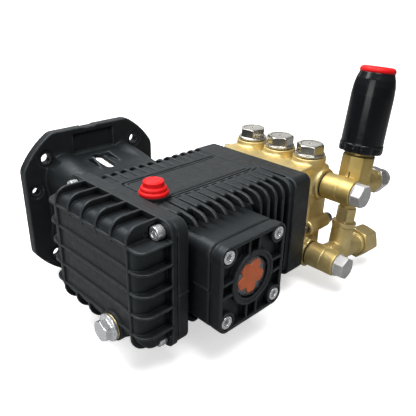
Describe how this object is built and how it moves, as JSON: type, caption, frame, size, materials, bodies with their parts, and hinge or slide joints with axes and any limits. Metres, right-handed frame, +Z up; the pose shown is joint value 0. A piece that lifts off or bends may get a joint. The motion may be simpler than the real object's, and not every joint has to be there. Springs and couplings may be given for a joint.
{
  "type": "pressure washer pump",
  "caption": "Triplex plunger pump with finned black crankcase, engine flange with hollow shaft, brass manifold with hexagon valve caps, and a side unloader valve with a tall adjusting knob.",
  "frame": {"origin": "crankshaft axis at the engine flange's mating face", "axes": "+Y along the crankshaft towards the engine, +X along the plungers towards the manifold, +Z up"},
  "size_m": [0.3779, 0.272, 0.2459],
  "materials": {
    "black_casting": "black powder-coated die casting, satin",
    "gasket_paper": "fibre gasket sheet",
    "zinc_screw": "bright zinc plate",
    "dark_screw": "dark plated steel",
    "brass_washer": "soft brass sealing washer",
    "red_plastic": "glossy red moulding",
    "seal_rubber": "nitrile rubber",
    "clear_lens": "clear moulded lens",
    "orange_reflector": "orange-red reflector",
    "crank_steel": "ground forged steel",
    "bearing_steel": "polished bearing steel",
    "rod_alloy": "die-cast alloy",
    "pin_steel": "ground steel",
    "white_ceramic": "polished alumina ceramic",
    "machined_brass": "machined brass",
    "cast_brass": "cast brass with machined faces",
    "cap_steel": "nickel-plated hexagon",
    "valve_steel": "stainless steel",
    "cage_plastic": "glass-filled nylon",
    "grey_alloy": "grey hexagon, satin",
    "outlet_steel": "plated hexagon",
    "knob_plastic": "glossy black moulding"
  },
  "bodies": {
    "pump": {"crankcase": "black_casting", "rear_cover": "black_casting", "rear_cover_gasket": "gasket_paper", "rear_cover_screws": "zinc_screw", "drain_plug": "zinc_screw", "drain_plug_washer": "brass_washer", "static_seals": "seal_rubber", "bearing_cover": "black_casting", "bearing_cover_screws": "zinc_screw", "sight_lens": "clear_lens", "sight_reflector": "orange_reflector", "engine_flange": "black_casting", "engine_flange_screws": "zinc_screw", "oil_seals": "seal_rubber", "bearing_outer_rings": "bearing_steel", "seal_retainers": "machined_brass", "plunger_packings": "seal_rubber", "manifold": "cast_brass", "manifold_bolts": "dark_screw", "gallery_plugs": "zinc_screw", "discharge_valve_caps": "cap_steel", "valve_seats": "valve_steel", "suction_valve_cages": "cage_plastic", "valve_springs": "valve_steel", "banjo_bolts": "grey_alloy", "unloader_body": "cast_brass", "unloader_spring": "valve_steel", "inlet_tee": "cast_brass", "outlet_connector": "outlet_steel", "bypass_tube": "machined_brass"},
    "crank": {"crankshaft": "crank_steel", "bearing_inner_rings": "bearing_steel"},
    "rolling_elements": {"bearing_balls": "bearing_steel"},
    "plunger_train_1": {"crosshead_1": "pin_steel", "wrist_pin_1": "pin_steel", "plunger_1": "white_ceramic"},
    "rod_1": {"connecting_rod_1": "rod_alloy", "rod_cap_1": "rod_alloy"},
    "discharge_valve_1": {"discharge_poppet_1": "valve_steel"},
    "suction_valve_1": {"suction_poppet_1": "valve_steel"},
    "plunger_train_2": {"crosshead_2": "pin_steel", "wrist_pin_2": "pin_steel", "plunger_2": "white_ceramic"},
    "rod_2": {"connecting_rod_2": "rod_alloy", "rod_cap_2": "rod_alloy"},
    "discharge_valve_2": {"discharge_poppet_2": "valve_steel"},
    "suction_valve_2": {"suction_poppet_2": "valve_steel"},
    "plunger_train_3": {"crosshead_3": "pin_steel", "wrist_pin_3": "pin_steel", "plunger_3": "white_ceramic"},
    "rod_3": {"connecting_rod_3": "rod_alloy", "rod_cap_3": "rod_alloy"},
    "discharge_valve_3": {"discharge_poppet_3": "valve_steel"},
    "suction_valve_3": {"suction_poppet_3": "valve_steel"},
    "adjuster": {"spring_seat": "valve_steel"},
    "knob": {"unloader_knob": "knob_plastic", "knob_cap": "red_plastic"},
    "bypass_piston": {"unloader_piston": "valve_steel"},
    "inlet_swivel": {"inlet_nut": "machined_brass"},
    "filler_cap": {"vent_cap": "red_plastic"}
  },
  "joints": [
    {"name": "crank_spin", "type": "hinge", "parent": "pump", "child": "crank", "pos_m": [0, -0.158, 0], "axis": [0, 1, 0], "continuous": true},
    {"name": "ball_orbit", "type": "hinge", "parent": "pump", "child": "rolling_elements", "pos_m": [0, -0.158, 0], "axis": [0, 1, 0], "continuous": true},
    {"name": "plunger_slide_1", "type": "slide", "parent": "pump", "child": "plunger_train_1", "axis": [1, 0, 0], "range_m": [-0.008, 0]},
    {"name": "rod_swing_1", "type": "hinge", "parent": "plunger_train_1", "child": "rod_1", "pos_m": [0.066, -0.116, 0], "axis": [0, 1, 0], "range_deg": [-3.7, 3.7]},
    {"name": "plunger_slide_2", "type": "slide", "parent": "pump", "child": "plunger_train_2", "axis": [1, 0, 0], "range_m": [-0.002, 0.006]},
    {"name": "rod_swing_2", "type": "hinge", "parent": "plunger_train_2", "child": "rod_2", "pos_m": [0.0599, -0.158, 0], "axis": [0, 1, 0], "range_deg": [-6.9, 0.5]},
    {"name": "plunger_slide_3", "type": "slide", "parent": "pump", "child": "plunger_train_3", "axis": [1, 0, 0], "range_m": [-0.002, 0.006]},
    {"name": "rod_swing_3", "type": "hinge", "parent": "plunger_train_3", "child": "rod_3", "pos_m": [0.0599, -0.2, 0], "axis": [0, 1, 0], "range_deg": [-0.5, 6.9]},
    {"name": "discharge_lift_1", "type": "slide", "parent": "pump", "child": "discharge_valve_1", "axis": [0, 0, 1], "range_m": [0, 0.0025], "deforming": ["valve_springs"]},
    {"name": "suction_lift_1", "type": "slide", "parent": "pump", "child": "suction_valve_1", "axis": [0, 0, 1], "range_m": [0, 0.002], "deforming": ["valve_springs"]},
    {"name": "discharge_lift_2", "type": "slide", "parent": "pump", "child": "discharge_valve_2", "axis": [0, 0, 1], "range_m": [0, 0.0025], "deforming": ["valve_springs"]},
    {"name": "suction_lift_2", "type": "slide", "parent": "pump", "child": "suction_valve_2", "axis": [0, 0, 1], "range_m": [0, 0.002], "deforming": ["valve_springs"]},
    {"name": "discharge_lift_3", "type": "slide", "parent": "pump", "child": "discharge_valve_3", "axis": [0, 0, 1], "range_m": [0, 0.0025], "deforming": ["valve_springs"]},
    {"name": "suction_lift_3", "type": "slide", "parent": "pump", "child": "suction_valve_3", "axis": [0, 0, 1], "range_m": [0, 0.002], "deforming": ["valve_springs"]},
    {"name": "adjuster_travel", "type": "slide", "parent": "pump", "child": "adjuster", "axis": [0.1426, 0, 0.9898], "range_m": [-0.003, 0.003], "deforming": ["unloader_spring"]},
    {"name": "knob_turn", "type": "hinge", "parent": "adjuster", "child": "knob", "pos_m": [0.20102, -0.2416, 0.1072], "axis": [0.1426, 0, 0.9898], "range_deg": [-720, 720]},
    {"name": "piston_lift", "type": "slide", "parent": "pump", "child": "bypass_piston", "axis": [0.1426, 0, 0.9898], "range_m": [0, 0.003], "deforming": ["unloader_spring"]},
    {"name": "inlet_nut_spin", "type": "hinge", "parent": "pump", "child": "inlet_swivel", "pos_m": [0.22812, -0.2416, -0.05532], "axis": [0.9898, 0, -0.1426], "continuous": true},
    {"name": "filler_cap_lift", "type": "slide", "parent": "pump", "child": "filler_cap", "axis": [0, 0, 1], "range_m": [0, 0.018]}
  ],
  "couplings": [
    {"joint": "ball_orbit", "follows": "crank_spin", "ratio": 0.4},
    {"joint": "adjuster_travel", "follows": "knob_turn", "m_per_rad": 0.0002387}
  ]
}
